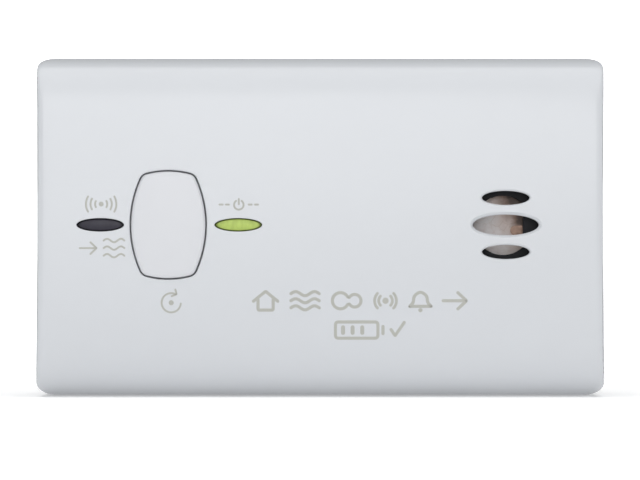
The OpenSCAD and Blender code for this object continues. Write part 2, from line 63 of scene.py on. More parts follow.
COVER_LO, COVER_HI = box_mm("front_cover")
CASE_LO, CASE_HI = box_mm("back_case")
BUTTON_LO, BUTTON_HI = box_mm("test_button")
ALARM_LO, ALARM_HI = box_mm("alarm_lens")
OPERATE_LO, OPERATE_HI = box_mm("operate_lens")
HORN_LO, HORN_HI = box_mm("horn_housing")

BODY_W = CASE_HI[0] - CASE_LO[0]
BODY_H = CASE_HI[2] - CASE_LO[2]
FRONT_Y = COVER_LO[1]
SPLIT_Y = 8.0
MID_Z = BODY_H / 2
FACE_Z = (BUTTON_LO[2] + BUTTON_HI[2]) / 2
BUTTON_X = (BUTTON_LO[0] + BUTTON_HI[0]) / 2
ALARM_X = (ALARM_LO[0] + ALARM_HI[0]) / 2
OPERATE_X = (OPERATE_LO[0] + OPERATE_HI[0]) / 2
HORN_X = (HORN_LO[0] + HORN_HI[0]) / 2
VENT_X = HORN_X + 0.4

WALL = 2.2
CORNER_R = 4.0
CROWN_D, CROWN_P, CROWN_BOW = 18.0, 10.0, 1.5
SIDE_FLARE, FLARE_D = 0.95, 22.0
WAIST = 0.28                     # how much narrower the front is at mid height
SIDE_BLEND, CORNER_BLEND = 0.9, 0.4  # how widely the faces of the cover melt into each other
BUTTON_W, BUTTON_H = 14.7, 21.1
BUTTON_SIDE_R, BUTTON_END_R, BUTTON_CORNER_R = 22.0, 17.0, 1.7
BUTTON_GAP = 0.26
LENS_W, LENS_H, LENS_GAP = 9.1, 2.35, 0.15
VENT_PITCH = 5.35
VENT_MID, VENT_END = (13.05, 4.1), (9.4, 2.8)
# rounding and bevel round each kind of opening
BUTTON_RIM, LENS_RIM = (0.26, 0), (0.14, 0)
VENT_MID_RIM, VENT_END_RIM = (0.18, 0.42), (0.16, 0.2)
# screw posts inside the cover: distance from the middle and from the ends, then their own size
POST_X, POST_FROM_END = 48.5, 8.5
POST_R, POST_BORE_R, POST_BORE_L, POST_END_Y = 3.25, 1.5, 12, 4.0
POST_CHAMFER, POST_ROOT = 0.2, 1.2


# ---------- meshes ----------

def finish_mesh(name, verts, faces, mat, smooth_deg=35.0):
    """Makes an object from millimetre vertices, smooth except at edges sharper than an angle."""
    mesh = bpy.data.meshes.new(name)
    mesh.from_pydata((np.asarray(verts, float) * MM).tolist(), [], [tuple(int(i) for i in f) for f in faces])
    mesh.validate()
    mesh.polygons.foreach_set("use_smooth", [True] * len(mesh.polygons))
    mesh.set_sharp_from_angle(angle=math.radians(smooth_deg))
    obj = bpy.data.objects.new(name, mesh)
    bpy.context.scene.collection.objects.link(obj)
    obj.data.materials.append(mat)
    return obj


class Builder:
    """Collects vertices and faces and welds vertices that lie at the same place."""

    def __init__(self):
        self.verts, self.faces, self.at = [], [], {}

    def vert(self, p):
        key = (round(float(p[0]), 4), round(float(p[1]), 4), round(float(p[2]), 4))
        if key not in self.at:
            self.at[key] = len(self.verts)
            self.verts.append((float(p[0]), float(p[1]), float(p[2])))
        return self.at[key]

    def ring(self, points):
        return [self.vert(p) for p in points]

    def face(self, ids):
        ids = [v for i, v in enumerate(ids) if v != ids[i - 1]]
        if len(set(ids)) > 2:
            self.faces.append(ids)

    def bridge(self, a, b, closed=True):
        n = len(a)
        for i in range(n if closed else n - 1):
            j = (i + 1) % n
            self.face([a[i], a[j], b[j], b[i]])

    def loft(self, rings, closed=True):
        for a, b in zip(rings, rings[1:]):
            self.bridge(a, b, closed)

    def fan(self, ring, centre, flip=False):
        c = self.vert(centre)
        for i in range(len(ring)):
            ids = [ring[i], ring[(i + 1) % len(ring)], c]
            self.face(ids[::-1] if flip else ids)

    def make(self, name, mat, smooth_deg=35.0):
        return finish_mesh(name, self.verts, self.faces, mat, smooth_deg)


def outward(obj):
    """Drops unused vertices and turns all faces of a closed mesh outwards."""
    bm = bmesh.new()
    bm.from_mesh(obj.data)
    bmesh.ops.delete(bm, geom=[v for v in bm.verts if not v.link_faces], context="VERTS")
    bmesh.ops.recalc_face_normals(bm, faces=bm.faces)
    bm.to_mesh(obj.data)
    bm.free()
    return obj


# ---------- plane outlines: arrays of (x, z) round a centre ----------

def ellipse(w, h, n=96):
    a = np.arange(n) * 2 * math.pi / n
    # points closer together at the narrow ends
    a = a - 0.32 * np.sin(2 * a) * (1 - min(w, h) / max(w, h))
    return np.stack([w / 2 * np.cos(a), h / 2 * np.sin(a)], 1)


def arc(c, r, a0, a1, n):
    a = np.linspace(a0, a1, n)
    return np.stack([c[0] + r * np.cos(a), c[1] + r * np.sin(a)], 1)


def barrel(n=14):
    """Outline of the test button, counter-clockwise from the middle of its right side."""
    a, b, r = BUTTON_W / 2, BUTTON_H / 2, BUTTON_CORNER_R
    c_side, c_end = np.array([a - BUTTON_SIDE_R, 0]), np.array([0, b - BUTTON_END_R])
    r0, r1 = BUTTON_SIDE_R - r, BUTTON_END_R - r
    d = np.linalg.norm(c_end - c_side)
    u = (c_end - c_side) / d
    along = (r0 * r0 - r1 * r1 + d * d) / (2 * d)
    c = c_side + along * u + math.sqrt(r0 * r0 - along * along) * np.array([-u[1], u[0]])
    t_side = math.atan2(*(c - c_side)[::-1])
    t_end = math.atan2(*(c - c_end)[::-1])
    q = np.vstack([
        arc(c_side, BUTTON_SIDE_R, 0, t_side, n),
        arc(c, r, t_side, t_end, 9)[1:],
        arc(c_end, BUTTON_END_R, t_end, math.pi / 2, n)[1:],
    ])
    half = np.vstack([q, (q * [-1, 1])[::-1][1:]])
    return np.vstack([half, (half * [1, -1])[::-1][1:-1]])


def offset(loop, g):
    """Moves a counter-clockwise outline outwards by g."""
    tangent = np.roll(loop, -1, 0) - np.roll(loop, 1, 0)
    normal = np.stack([tangent[:, 1], -tangent[:, 0]], 1)
    return loop + g * normal / np.linalg.norm(normal, axis=1)[:, None]


def inside(p, loop):
    x, z = p
    a, b = loop, np.roll(loop, -1, 0)
    cross = (a[:, 1] > z) != (b[:, 1] > z)
    with np.errstate(divide="ignore", invalid="ignore"):
        at = a[:, 0] + (z - a[:, 1]) * (b[:, 0] - a[:, 0]) / (b[:, 1] - a[:, 1])
    return bool(np.count_nonzero(cross & (x < at)) % 2)


# ---------- the cover's surface ----------

def crown(z):
    """Depth of the cover's surface behind its front plane, above or below the middle."""
    u = np.clip(np.abs(np.asarray(z, float) - MID_Z) / (BODY_H / 2), 0, 1)
    return (CROWN_D - CROWN_BOW) * (1 - np.sqrt(1 - u ** CROWN_P)) + CROWN_BOW * u * u


def face_y(z):
    return FRONT_Y + crown(z)


def crown_line():
    phi = np.linspace(0, math.pi / 2, 90)
    u = np.concatenate([np.linspace(0, 0.7, 30)[:-1], 0.7 + 0.3 * np.sin(phi)])
    line = np.stack([u * BODY_H / 2, crown(MID_Z + u * BODY_H / 2)], 1)
    return np.vstack([[-60, 0], line, [BODY_H / 2, 80]])


def plan_line():
    depth = np.linspace(0, FLARE_D, 30)
    side = np.stack([BODY_W / 2 - SIDE_FLARE * ((FLARE_D - depth) / FLARE_D) ** 2, depth], 1)
    slope = (side[1] - side[0]) / (side[1] - side[0])[1]
    return np.vstack([side[0] - 40 * slope, side, [BODY_W / 2, 80]])


def line_distance(p, line):
    """Signed distance of points to a line with its inside at its left, and the gradient."""
    a, e = line[:-1], line[1:] - line[:-1]
    d = p[:, None] - a[None]
    t = np.clip((d * e).sum(2) / (e * e).sum(1), 0, 1)
    diff = d - t[:, :, None] * e
    k = (diff ** 2).sum(2).argmin(1)
    rows = np.arange(len(p))
    diff, e = diff[rows, k], e[k]
    size = np.linalg.norm(diff, axis=1)
    side = np.where(e[:, 0] * diff[:, 1] - e[:, 1] * diff[:, 0] > 0, -1.0, 1.0)
    normal = np.stack([e[:, 1], -e[:, 0]], 1) / np.linalg.norm(e, axis=1)[:, None]
    grad = np.where(size[:, None] > 1e-3, side[:, None] * diff / np.maximum(size, 1e-9)[:, None], normal)
    return side * size, grad


def outline_distance(p):
    """Signed distance to the rounded outline of the housing seen from the front."""
    half = np.array([BODY_W / 2 - CORNER_R, BODY_H / 2 - CORNER_R])
    q = np.abs(p) - half
    out = np.maximum(q, 0)
    size = np.linalg.norm(out, axis=1)
    f = size + np.minimum(q.max(1), 0) - CORNER_R
    flat = np.where(q[:, :1] > q[:, 1:], [[1.0, 0.0]], [[0.0, 1.0]])
    grad = np.where(size[:, None] > 1e-6, out / np.maximum(size, 1e-9)[:, None], flat)
    return f, grad * np.sign(p)


CROWN_LINE, PLAN_LINE = crown_line(), plan_line()


def smooth_max(fa, ga, fb, gb, k):
    h = np.maximum(k - np.abs(fa - fb), 0) / k
    wa = np.where(fa > fb, 1 - h / 2, h / 2)[:, None]
    return np.maximum(fa, fb) + h * h * k / 4, wa * ga + (1 - wa) * gb


def cover_field(p):
    """Signed distance to the cover's outer surface, roughly, and its gradient."""
    x, depth, z = p[:, 0], p[:, 1] - FRONT_Y, p[:, 2] - MID_Z
    f1, g1 = line_distance(np.stack([np.abs(z), depth], 1), CROWN_LINE)
    waist = WAIST * np.clip(1 - depth / FLARE_D, 0, 1) * (1 - (z / (BODY_H / 2)) ** 2)
    f2, g2 = line_distance(np.stack([np.abs(x) + waist, depth], 1), PLAN_LINE)
    f3, g3 = outline_distance(np.stack([x, z], 1))
    zero = np.zeros(len(p))
    crown_g = np.stack([zero, g1[:, 1], g1[:, 0] * np.sign(z)], 1)
    plan_g = np.stack([g2[:, 0] * np.sign(x), g2[:, 1], zero], 1)
    edge_g = np.stack([g3[:, 0], zero, g3[:, 1]], 1)
    f, g = smooth_max(f1, crown_g, f2, plan_g, SIDE_BLEND)
    return smooth_max(f, g, f3, edge_g, CORNER_BLEND)


def settle(p, level):
    """Slides points onto the surface that lies `level` inside the cover's outer surface."""
    p = p.copy()
    for _ in range(12):
        f, g = cover_field(p)
        n2 = np.maximum((g * g).sum(1), 1e-6)
        p -= ((f + level) / n2)[:, None] * g * 0.9
    return p


# the part of the face that holds the openings, and the spacing of the points inside it
PATCH_X, PATCH_HALF_Z = (-52.0, 48.0), 14.0
PATCH_ROW, PATCH_COLUMN = 1.25, 1.4
PATCH_START, PATCH_STOP = 1.1, 0.8   # first and last point, from the edges of the patch
OPENING_ROOM = 0.7                   # kept free of points round each opening


def steps(*runs):
    """Positions along an axis, from (start, end, count) runs that follow one another."""
    out = [np.array([runs[0][0]])]
    for a, b, n in runs:
        out.append(np.linspace(a, b, n + 1)[1:])
    return np.concatenate(out)


def cover_skin(b, level, rear_inset, loops):
    """One skin of the cover with its openings; returns its rear edge as a ring."""
    w, lo, hi = BODY_W / 2 - level, level, BODY_H - level
    xs = steps((-w, PATCH_X[0], 6), (PATCH_X[0], PATCH_X[1], 64), (PATCH_X[1], w, 10))
    zs = steps((lo, FACE_Z - PATCH_HALF_Z, 22), (FACE_Z - PATCH_HALF_Z, FACE_Z + PATCH_HALF_Z, 18),
               (FACE_Z + PATCH_HALF_Z, hi, 22))
    nx, nz = len(xs), len(zs)
    front = np.array([[x, FRONT_Y + level, z] for z in zs for x in xs])
    front = settle(front, level).reshape(nz, nx, 3)
    # perimeter of the front grid, then rings behind it
    path = [(0, i) for i in range(nx)] + [(j, nx - 1) for j in range(1, nz)]
    path += [(nz - 1, i) for i in range(nx - 2, -1, -1)] + [(j, 0) for j in range(nz - 2, 0, -1)]
    flat = np.array([[xs[i], 0, zs[j]] for j, i in path])
    depths = np.concatenate([np.arange(0.8, 8, 0.8), np.linspace(8, SPLIT_Y - FRONT_Y - 0.3, 12)])
    rings = [b.ring([front[j, i] for j, i in path])]
    for d in depths:
        start = flat + [0, max(FRONT_Y + d, FRONT_Y + level), 0]
        ring = settle(start, level)
        rings.append(b.ring(ring))
    ring[:, 1] = SPLIT_Y
    _, g = cover_field(ring)
    rings.append(b.ring(ring - rear_inset * g / np.linalg.norm(g, axis=1)[:, None]))
    b.loft(rings)
    ids = [[b.vert(front[j, i]) for i in range(nx)] for j in range(nz)]
    i0, i1 = [int(np.abs(xs - x).argmin()) for x in PATCH_X]
    j0, j1 = [int(np.abs(zs - (FACE_Z + s * PATCH_HALF_Z)).argmin()) for s in (-1, 1)]
    for j in range(nz - 1):
        for i in range(nx - 1):
            if not (i0 <= i < i1 and j0 <= j < j1):
                b.face([ids[j][i], ids[j][i + 1], ids[j + 1][i + 1], ids[j + 1][i]])
    border = [front[j0, i] for i in range(i0, i1)] + [front[j, i1] for j in range(j0, j1)]
    border += [front[j1, i] for i in range(i1, i0, -1)] + [front[j, i0] for j in range(j1, j0, -1)]
    fill_patch(b, np.array(border), loops, level)
    return rings[-1]


def fill_patch(b, border, loops, level):
    """Triangulates the middle of the face between its border and the openings."""
    pts = [(float(p[0]), float(p[2])) for p in border]
    y_of = {i: float(p[1]) for i, p in enumerate(border)}
    edges = [(i, (i + 1) % len(border)) for i in range(len(border))]
    for loop in loops:
        k = len(pts)
        pts += [(float(x), float(z)) for x, z in loop]
        edges += [(k + i, k + (i + 1) % len(loop)) for i in range(len(loop))]
    lo, hi = border.min(0), border.max(0)
    bounds = [(lp.min(0) - OPENING_ROOM, lp.max(0) + OPENING_ROOM) for lp in loops]
    grown = [offset(lp, OPENING_ROOM) for lp in loops]
    for row, z in enumerate(np.arange(lo[2] + PATCH_START, hi[2] - PATCH_STOP, PATCH_ROW)):
        stagger = PATCH_COLUMN / 2 * (row % 2)
        for x in np.arange(lo[0] + PATCH_START + stagger, hi[0] - PATCH_STOP, PATCH_COLUMN):
            near = any((a[0] < x < c[0] and a[1] < z < c[1]) and inside((x, z), g)
                       for (a, c), g in zip(bounds, grown))
            if not near:
                pts.append((float(x), float(z)))
    out, _, tris, orig, _, _ = delaunay_2d_cdt([Vector(p) for p in pts], edges, [], 0, 1e-5)
    ids = []
    for v, src in zip(out, orig):
        x, z = pts[src[0]] if src else (v.x, v.y)
        border_src = [s for s in src if s in y_of]
        y = y_of[border_src[0]] if border_src else float(face_y(z)) + level
        ids.append(b.vert((x, y, z)))
    for t in tris:
        c = sum((out[i] for i in t), Vector((0, 0))) / len(t)
        if not any(inside((c.x, c.y), lp) for lp in loops):
            b.face([ids[i] for i in t])


def opening(b, loop, rim, bevel=0.0):
    """Wall of an opening through the cover, with a rounded or bevelled rim; returns its two end loops."""
    rings, support, back = [], 0.1, 0.12

    def place(g, depth):
        lp = offset(loop, g)
        rings.append(b.ring([(x, float(face_y(z)) + depth, z) for x, z in lp]))
        return lp

    outer = place(rim + bevel + support, 0)
    for i in range(4):
        t = math.pi / 4 * i / 3
        place(bevel + rim * (1 - math.sin(t)), rim * (1 - math.cos(t)))
    for i in range(4):
        t = math.pi / 4 * (1 + i / 3)
        place(rim * (1 - math.sin(t)), bevel + rim * (1 - math.cos(t)))
    place(0, WALL * 0.6)
    place(0, WALL - 0.25)
    place(back / 3, WALL - back / 3)
    place(back, WALL)
    inner = place(back + support, WALL)
    b.loft(rings)
    return outer, inner


def screw_post(b, x, z, n=32):
    """A round post that grows out of the cover and has a blind bore at its rear end."""
    a = np.arange(n) * 2 * math.pi / n
    turn = np.stack([np.cos(a), np.sin(a)], 1)
    at, end, bore_y = np.array([x, z]), POST_END_Y, POST_END_Y - POST_BORE_L

    def root(height):
        return float(face_y(height)) + POST_ROOT

    def circle(radius, y):
        return b.ring([(px, y, pz) for px, pz in turn * radius + at])

    first = b.ring([(px, root(pz), pz) for px, pz in turn * POST_R + at])
    rings = [first, circle(POST_R, end - POST_CHAMFER), circle(POST_R - POST_CHAMFER, end),
             circle(POST_BORE_R + POST_CHAMFER, end), circle(POST_BORE_R, end - POST_CHAMFER),
             circle(POST_BORE_R, bore_y)]
    b.loft(rings)
    b.fan(rings[-1], (x, bore_y, z))
    b.fan(first, (x, root(z), z), flip=True)


def front_cover(mat):
    b = Builder()
    holes = [(offset(barrel(), BUTTON_GAP) + [BUTTON_X, FACE_Z], *BUTTON_RIM)]
    for x in (ALARM_X, OPERATE_X):
        holes.append((ellipse(LENS_W + 2 * LENS_GAP, LENS_H + 2 * LENS_GAP) + [x, FACE_Z], *LENS_RIM))
    for i in (-1, 0, 1):
        size, rim = (VENT_END, VENT_END_RIM) if i else (VENT_MID, VENT_MID_RIM)
        holes.append((ellipse(*size) + [VENT_X, FACE_Z + i * VENT_PITCH], *rim))
    loops = [opening(b, *hole) for hole in holes]
    outer = cover_skin(b, 0.0, 0.3, [lp[0] for lp in loops])
    inner = cover_skin(b, WALL, -0.1, [lp[1] for lp in loops])
    b.bridge(outer, inner)
    for x in (-POST_X, POST_X):
        for z in (POST_FROM_END, BODY_H - POST_FROM_END):
            screw_post(b, x, z)
    return outward(b.make("cover_shell", mat))


# ---------- button and lenses ----------

def test_button(mat):
    b = Builder()
    base = barrel()
    front, stem_end = BUTTON_LO[1], BUTTON_HI[1]
    dome, edge, skin = 0.12, 0.55, 1.8
    back, flange_y = front + skin, front + 3.1

    def place(loop, y):
        return b.ring([(BUTTON_X + x, y, FACE_Z + z) for x, z in loop])

    inner = offset(base, -edge)
    rings = []
    for s in (0.25, 0.5, 0.7, 0.85, 0.94, 0.985):
        rings.append(place(inner * s, front + dome * s * s))
    for i in range(8):
        t = math.pi / 2 * i / 7
        rings.append(place(offset(base, -edge * (1 - math.sin(t))), front + dome + edge * (1 - math.cos(t))))
    # side wall, flange and hollow back: distance outside the outline, and depth
    for g, y in ((0, flange_y - 0.15), (0.15, flange_y), (0.7, flange_y), (0.78, flange_y + 0.1),
                 (0.78, flange_y + 1.0), (0.7, flange_y + 1.1), (-1.4, flange_y + 1.1),
                 (-1.5, flange_y + 1.0), (-1.5, front + 1.9), (-1.6, back)):
        rings.append(place(offset(base, g), y))
    for s in (0.8, 0.6, 0.45, 0.3):
        rings.append(place(offset(base, -1.6) * s, back))
    # the stem grows out of the middle
    angle = np.array([math.atan2(z, x) for x, z in base])
    circle = np.stack([np.cos(angle), np.sin(angle)], 1)
    for r, y in ((2.3, back), (2.05, front + 1.95), (2.0, front + 2.2), (2.0, stem_end - 0.2),
                 (1.8, stem_end)):
        rings.append(place(circle * r, y))
    b.loft(rings)
    b.fan(rings[0], (BUTTON_X, front, FACE_Z), flip=True)
    b.fan(rings[-1], (BUTTON_X, stem_end, FACE_Z))
    return outward(b.make("button_cap", mat))


def lens(name, x, lo, hi, mat):
    b = Builder()
    base = ellipse(LENS_W, LENS_H, 72)
    angle = np.array([math.atan2(z / LENS_H, u / LENS_W) for u, z in base])
    circle = np.stack([np.cos(angle), np.sin(angle)], 1)
    top, stem_end, dome = lo[1] + 0.02, hi[1], 0.3
    flange_y = FRONT_Y + WALL + 0.5
    back = flange_y + 1.0

    def place(loop, y):
        return b.ring([(x + u, y, FACE_Z + z) for u, z in loop])

    rings = [place(base * s, top + dome * s * s) for s in (0.15, 0.3, 0.45, 0.6, 0.75, 0.86, 0.94)]
    rings.append(place(base * 0.985, top + 0.33))
    # side wall and flange: distance outside the outline, and depth
    for g, y in ((0, top + 0.42), (0, flange_y - 0.05), (0.1, flange_y), (0.48, flange_y), (0.48, back)):
        rings.append(place(offset(base, g), y))
    for k in (0.75, 0.45):
        rings.append(place(base * k + circle * (1 - k), back))
    for r, y in ((1.95, back), (1.72, flange_y + 1.15), (1.7, stem_end - 0.15), (1.55, stem_end)):
        rings.append(place(circle * r, y))
    b.loft(rings)
    b.fan(rings[0], (x, top, FACE_Z), flip=True)
    b.fan(rings[-1], (x, stem_end, FACE_Z))
    return outward(b.make(name, mat))


# ---------- printed pictograms ----------

INK_SECTION = [(-1, 0), (-0.94, 0.8), (-0.8, 1), (0, 1), (0.8, 1), (0.94, 0.8), (1, 0), (0.8, -1), (-0.8, -1)]
INK_H = 0.02
THIN, BOLD = 0.38, 0.62          # line widths of the pictograms


def stroke(b, pts, width, closed=False):
    """Lays a thin printed line along points on the face of the cover."""
    pts = np.asarray(pts, float)
    scale = np.ones(len(pts))
    if not closed:
        first, last = pts[0] - pts[1], pts[-1] - pts[-2]
        first, last = first / np.linalg.norm(first), last / np.linalg.norm(last)
        caps = [0.4, 0.75, 0.97]
        head = [pts[0] + first * width / 2 * t for t in reversed(caps)]
        tail = [pts[-1] + last * width / 2 * t for t in caps]
        cap_scale = [math.sqrt(1 - t * t) for t in caps]
        pts = np.vstack([head, pts, tail])
        scale = np.concatenate([cap_scale[::-1], scale, cap_scale])
    tangent = np.gradient(pts, axis=0)
    if closed:
        tangent = np.roll(pts, -1, 0) - np.roll(pts, 1, 0)
    normal = np.stack([-tangent[:, 1], tangent[:, 0]], 1)
    normal /= np.linalg.norm(normal, axis=1)[:, None]
    rings = []
    for p, nrm, s in zip(pts, normal, scale):
        ring = []
        for u, h in INK_SECTION:
            q = p + nrm * u * width / 2 * s
            ring.append((q[0], float(face_y(q[1])) - h * INK_H, q[1]))
        rings.append(b.ring(ring))
    b.loft(rings + rings[:1] if closed else rings)
    if not closed:
        b.face(rings[0][::-1])
        b.face(rings[-1])


def round_path(pts, r, closed=False, n=5):
    """Rounds the corners of a path."""
    pts = [np.array(p, float) for p in pts]
    out = []
    m = len(pts)
    for i, p in enumerate(pts):
        if not closed and i in (0, m - 1):
            out.append(p)
            continue
        a, c = pts[i - 1], pts[(i + 1) % m]
        ra = min(r, np.linalg.norm(a - p) / 2.2)
        rc = min(r, np.linalg.norm(c - p) / 2.2)
        s, e = p + (a - p) / np.linalg.norm(a - p) * ra, p + (c - p) / np.linalg.norm(c - p) * rc
        for k in range(n + 1):
            t = k / n
            out.append((1 - t) ** 2 * s + 2 * t * (1 - t) * p + t * t * e)
    return np.array(out)


def bow(c, r, a0, a1, n=16):
    return arc(c, r, math.radians(a0), math.radians(a1), n)


def wave(x0, x1, z, height, turns=1.5):
    x = np.linspace(x0, x1, 28)
    return np.stack([x, z + height * np.sin((x - x0) / (x1 - x0) * turns * 2 * math.pi)], 1)


def dot(b, c, r):
    """A printed disc."""
    n = 24
    a = np.arange(n) * 2 * math.pi / n
    rings = []
    for k, h in ((0.97, -1), (1, 0), (0.97, 0.8), (0.9, 1)):
        circle = [(c[0] + r * k * math.cos(t), c[1] + r * k * math.sin(t)) for t in a]
        rings.append(b.ring([(x, float(face_y(z)) - h * INK_H, z) for x, z in circle]))
    b.loft(rings)
    b.fan(rings[0], (c[0], float(face_y(c[1])) + INK_H, c[1]))
    b.fan(rings[-1], (c[0], float(face_y(c[1])) - INK_H, c[1]), flip=True)


def icon_alarm(b, x, z):
    dot(b, (x, z), 0.48)
    for r in (1.2, 2.1, 3.0):
        stroke(b, bow((x, z), r, -30, 30), THIN)
        stroke(b, bow((x, z), r, 150, 210), THIN)


def icon_fresh_air(b, x, z):
    stroke(b, [(x - 4.4, z), (x - 1.2, z)], THIN)
    stroke(b, round_path([(x - 2.3, z + 1.15), (x - 1.1, z), (x - 2.3, z - 1.15)], 0.15), THIN)
    for dz in (-1.5, 0, 1.5):
        stroke(b, wave(x + 0.3, x + 4.4, z + dz, 0.34), THIN)


def icon_power(b, x, z):
    stroke(b, bow((x, z - 0.05), 0.95, 125, 415), THIN)
    stroke(b, [(x, z + 0.1), (x, z + 1.1)], THIN)
    for s in (-1, 1):
        for k in (1.95, 3.2):
            stroke(b, [(x + s * k, z), (x + s * (k + 0.6), z)], THIN)


def icon_reset(b, x, z):
    stroke(b, bow((x, z), 1.9, 60, 355, 30), THIN)
    tip = np.array([x + 1.9 * math.cos(math.radians(60)), z + 1.9 * math.sin(math.radians(60))])
    stroke(b, round_path([tip + [-0.15, 0.95], tip + [0.1, 0.05], tip + [-0.85, -0.35]], 0.12), THIN)
    dot(b, (x, z), 0.5)


def icon_row(b, x0, z):
    """The large row of pictograms in place of a caption."""
    w, h = BOLD, 1.85
    x = x0
    # house
    stroke(b, round_path([(x, z - 0.1), (x + 2.4, z + h), (x + 4.8, z - 0.1)], 0.2), w)
    walls = [(x + 0.9, z + 0.2), (x + 0.9, z - h), (x + 3.9, z - h), (x + 3.9, z + 0.2)]
    stroke(b, round_path(walls, 0.3), w)
    # drifting gas
    x += 7.4
    for dz in (-1.4, 0, 1.4):
        stroke(b, wave(x, x + 5.6, z + dz, 0.4, 1.5), w)
    # two joined atoms
    x += 8.2
    stroke(b, bow((x + 1.6, z), 1.6, 28, 332, 30), w)
    stroke(b, bow((x + 4.4, z), 1.25, 212, 508, 26), w)
    # sensor: dot with rings
    x += 8.3
    dot(b, (x + 2.2, z), 0.62)
    for r in (1.35, 2.15):
        stroke(b, bow((x + 2.2, z), r, -42, 42), w * 0.9)
        stroke(b, bow((x + 2.2, z), r, 138, 222), w * 0.9)
    # bell
    x += 7.0
    bell = [(x, z - 1.1), (x + 0.7, z - 0.4), (x + 0.8, z + 1.0), (x + 2.1, z + h), (x + 3.4, z + 1.0),
            (x + 3.5, z - 0.4), (x + 4.2, z - 1.1)]
    stroke(b, round_path(bell, 0.8), w)
    stroke(b, [(x, z - 1.1), (x + 4.2, z - 1.1)], w)
    dot(b, (x + 2.1, z - 1.85), 0.42)
    # arrow out
    x += 6.6
    stroke(b, [(x, z), (x + 4.4, z)], w)
    stroke(b, round_path([(x + 2.9, z + 1.6), (x + 4.6, z), (x + 2.9, z - 1.6)], 0.2), w)


def icon_battery(b, x, z):
    w = BOLD
    body = [(x - 6.4, z - 1.6), (x + 2.0, z - 1.6), (x + 2.0, z + 1.6), (x - 6.4, z + 1.6)]
    stroke(b, round_path(body, 0.6, closed=True), w, closed=True)
    stroke(b, [(x + 3.0, z - 0.7), (x + 3.0, z + 0.7)], w)
    for k in range(3):
        stroke(b, [(x - 4.9 + 1.9 * k, z - 0.55), (x - 4.9 + 1.9 * k, z + 0.55)], 0.8)
    stroke(b, round_path([(x + 4.6, z + 0.1), (x + 5.4, z - 1.1), (x + 7.2, z + 1.5)], 0.1), w)


def printed_marks(mat):
    b = Builder()
    icon_alarm(b, ALARM_X + 0.2, FACE_Z + 4.1)
    icon_fresh_air(b, ALARM_X + 0.4, FACE_Z - 4.6)
    icon_power(b, OPERATE_X + 0.1, FACE_Z + 4.0)
    icon_reset(b, BUTTON_X + 0.6, FACE_Z - 15.4)
    icon_row(b, -13.2, FACE_Z - 15.0)
    icon_battery(b, 9.4, FACE_Z - 20.8)
    return outward(b.make("printed_marks", mat, 60))


# ---------- materials ----------

WHITE = (1, 1, 1, 1)


def shade(c, k):
    return (min(c[0] * k, 1), min(c[1] * k, 1), min(c[2] * k, 1), 1.0)


class Shader:
    """Small helper round a node tree."""

    def __init__(self, name):
        self.mat = bpy.data.materials.new(name)
        self.mat.use_nodes = True
        self.tree = self.mat.node_tree
        self.bsdf = self.tree.nodes["Principled BSDF"]
        self.coord = self.tree.nodes.new("ShaderNodeTexCoord")

    def set(self, **values):
        for key, value in values.items():
            self.bsdf.inputs[key.replace("_", " ")].default_value = value
        return self

    def noise(self, size_mm, detail=3.0, rough=0.55, stretch=None):
        n = self.tree.nodes.new("ShaderNodeTexNoise")
        n.inputs["Scale"].default_value = 1.0 / (size_mm * MM)
        n.inputs["Detail"].default_value = detail
        n.inputs["Roughness"].default_value = rough
        source = self.coord.outputs["Object"]
        if stretch:
            m = self.tree.nodes.new("ShaderNodeMapping")
            m.inputs["Scale"].default_value = stretch
            self.tree.links.new(source, m.inputs["Vector"])
            source = m.outputs["Vector"]
        self.tree.links.new(source, n.inputs["Vector"])
        return n.outputs["Fac"]

    def ramp(self, fac, stops):
        r = self.tree.nodes.new("ShaderNodeValToRGB")
        els = r.color_ramp.elements
        while len(els) < len(stops):
            els.new(0.5)
        for el, (pos, col) in zip(els, stops):
            el.position = pos
            el.color = col
        self.tree.links.new(fac, r.inputs["Fac"])
        return r.outputs["Color"]

    def math(self, operation, *values):
        n = self.tree.nodes.new("ShaderNodeMath")
        n.operation = operation
        for socket, value in zip(n.inputs, values):
            if isinstance(value, float):
                socket.default_value = value
            else:
                self.tree.links.new(value, socket)
        return n.outputs[0]

    def vector(self, operation, *values):
        n = self.tree.nodes.new("ShaderNodeVectorMath")
        n.operation = operation
        for socket, value in zip(n.inputs, values):
            if isinstance(value, tuple):
                socket.default_value = value
            else:
                self.tree.links.new(value, socket)
        return n.outputs["Value" if operation == "LENGTH" else "Vector"]

    def axes(self):
        """The X, Y and Z of the place on the object."""
        n = self.tree.nodes.new("ShaderNodeSeparateXYZ")
        self.tree.links.new(self.coord.outputs["Object"], n.inputs[0])
        return n.outputs["X"], n.outputs["Y"], n.outputs["Z"]

    def multiply(self, a, b, factor=1.0):
        """Colour a darkened by colour b."""
        n = self.tree.nodes.new("ShaderNodeMix")
        n.data_type, n.blend_type = "RGBA", "MULTIPLY"
        n.inputs["Factor"].default_value = factor
        self.tree.links.new(a, n.inputs["A"])
        self.tree.links.new(b, n.inputs["B"])
        return n.outputs["Result"]

    def remap(self, fac, lo, hi, a=0.3, b=0.7):
        m = self.tree.nodes.new("ShaderNodeMapRange")
        for key, value in (("From Min", a), ("From Max", b), ("To Min", lo), ("To Max", hi)):
            m.inputs[key].default_value = value
        self.tree.links.new(fac, m.inputs["Value"])
        return m.outputs["Result"]

    def link(self, out, socket):
        self.tree.links.new(out, self.bsdf.inputs[socket])
        return self

    def bump(self, layers):
        """layers: (height output, height in mm)"""
        last = None
        for out, height in layers:
            n = self.tree.nodes.new("ShaderNodeBump")
            n.inputs["Strength"].default_value = 1.0
            n.inputs["Distance"].default_value = height * MM
            self.tree.links.new(out, n.inputs["Height"])
            if last:
                self.tree.links.new(last, n.inputs["Normal"])
            last = n.outputs["Normal"]
        self.tree.links.new(last, self.bsdf.inputs["Normal"])
        return self


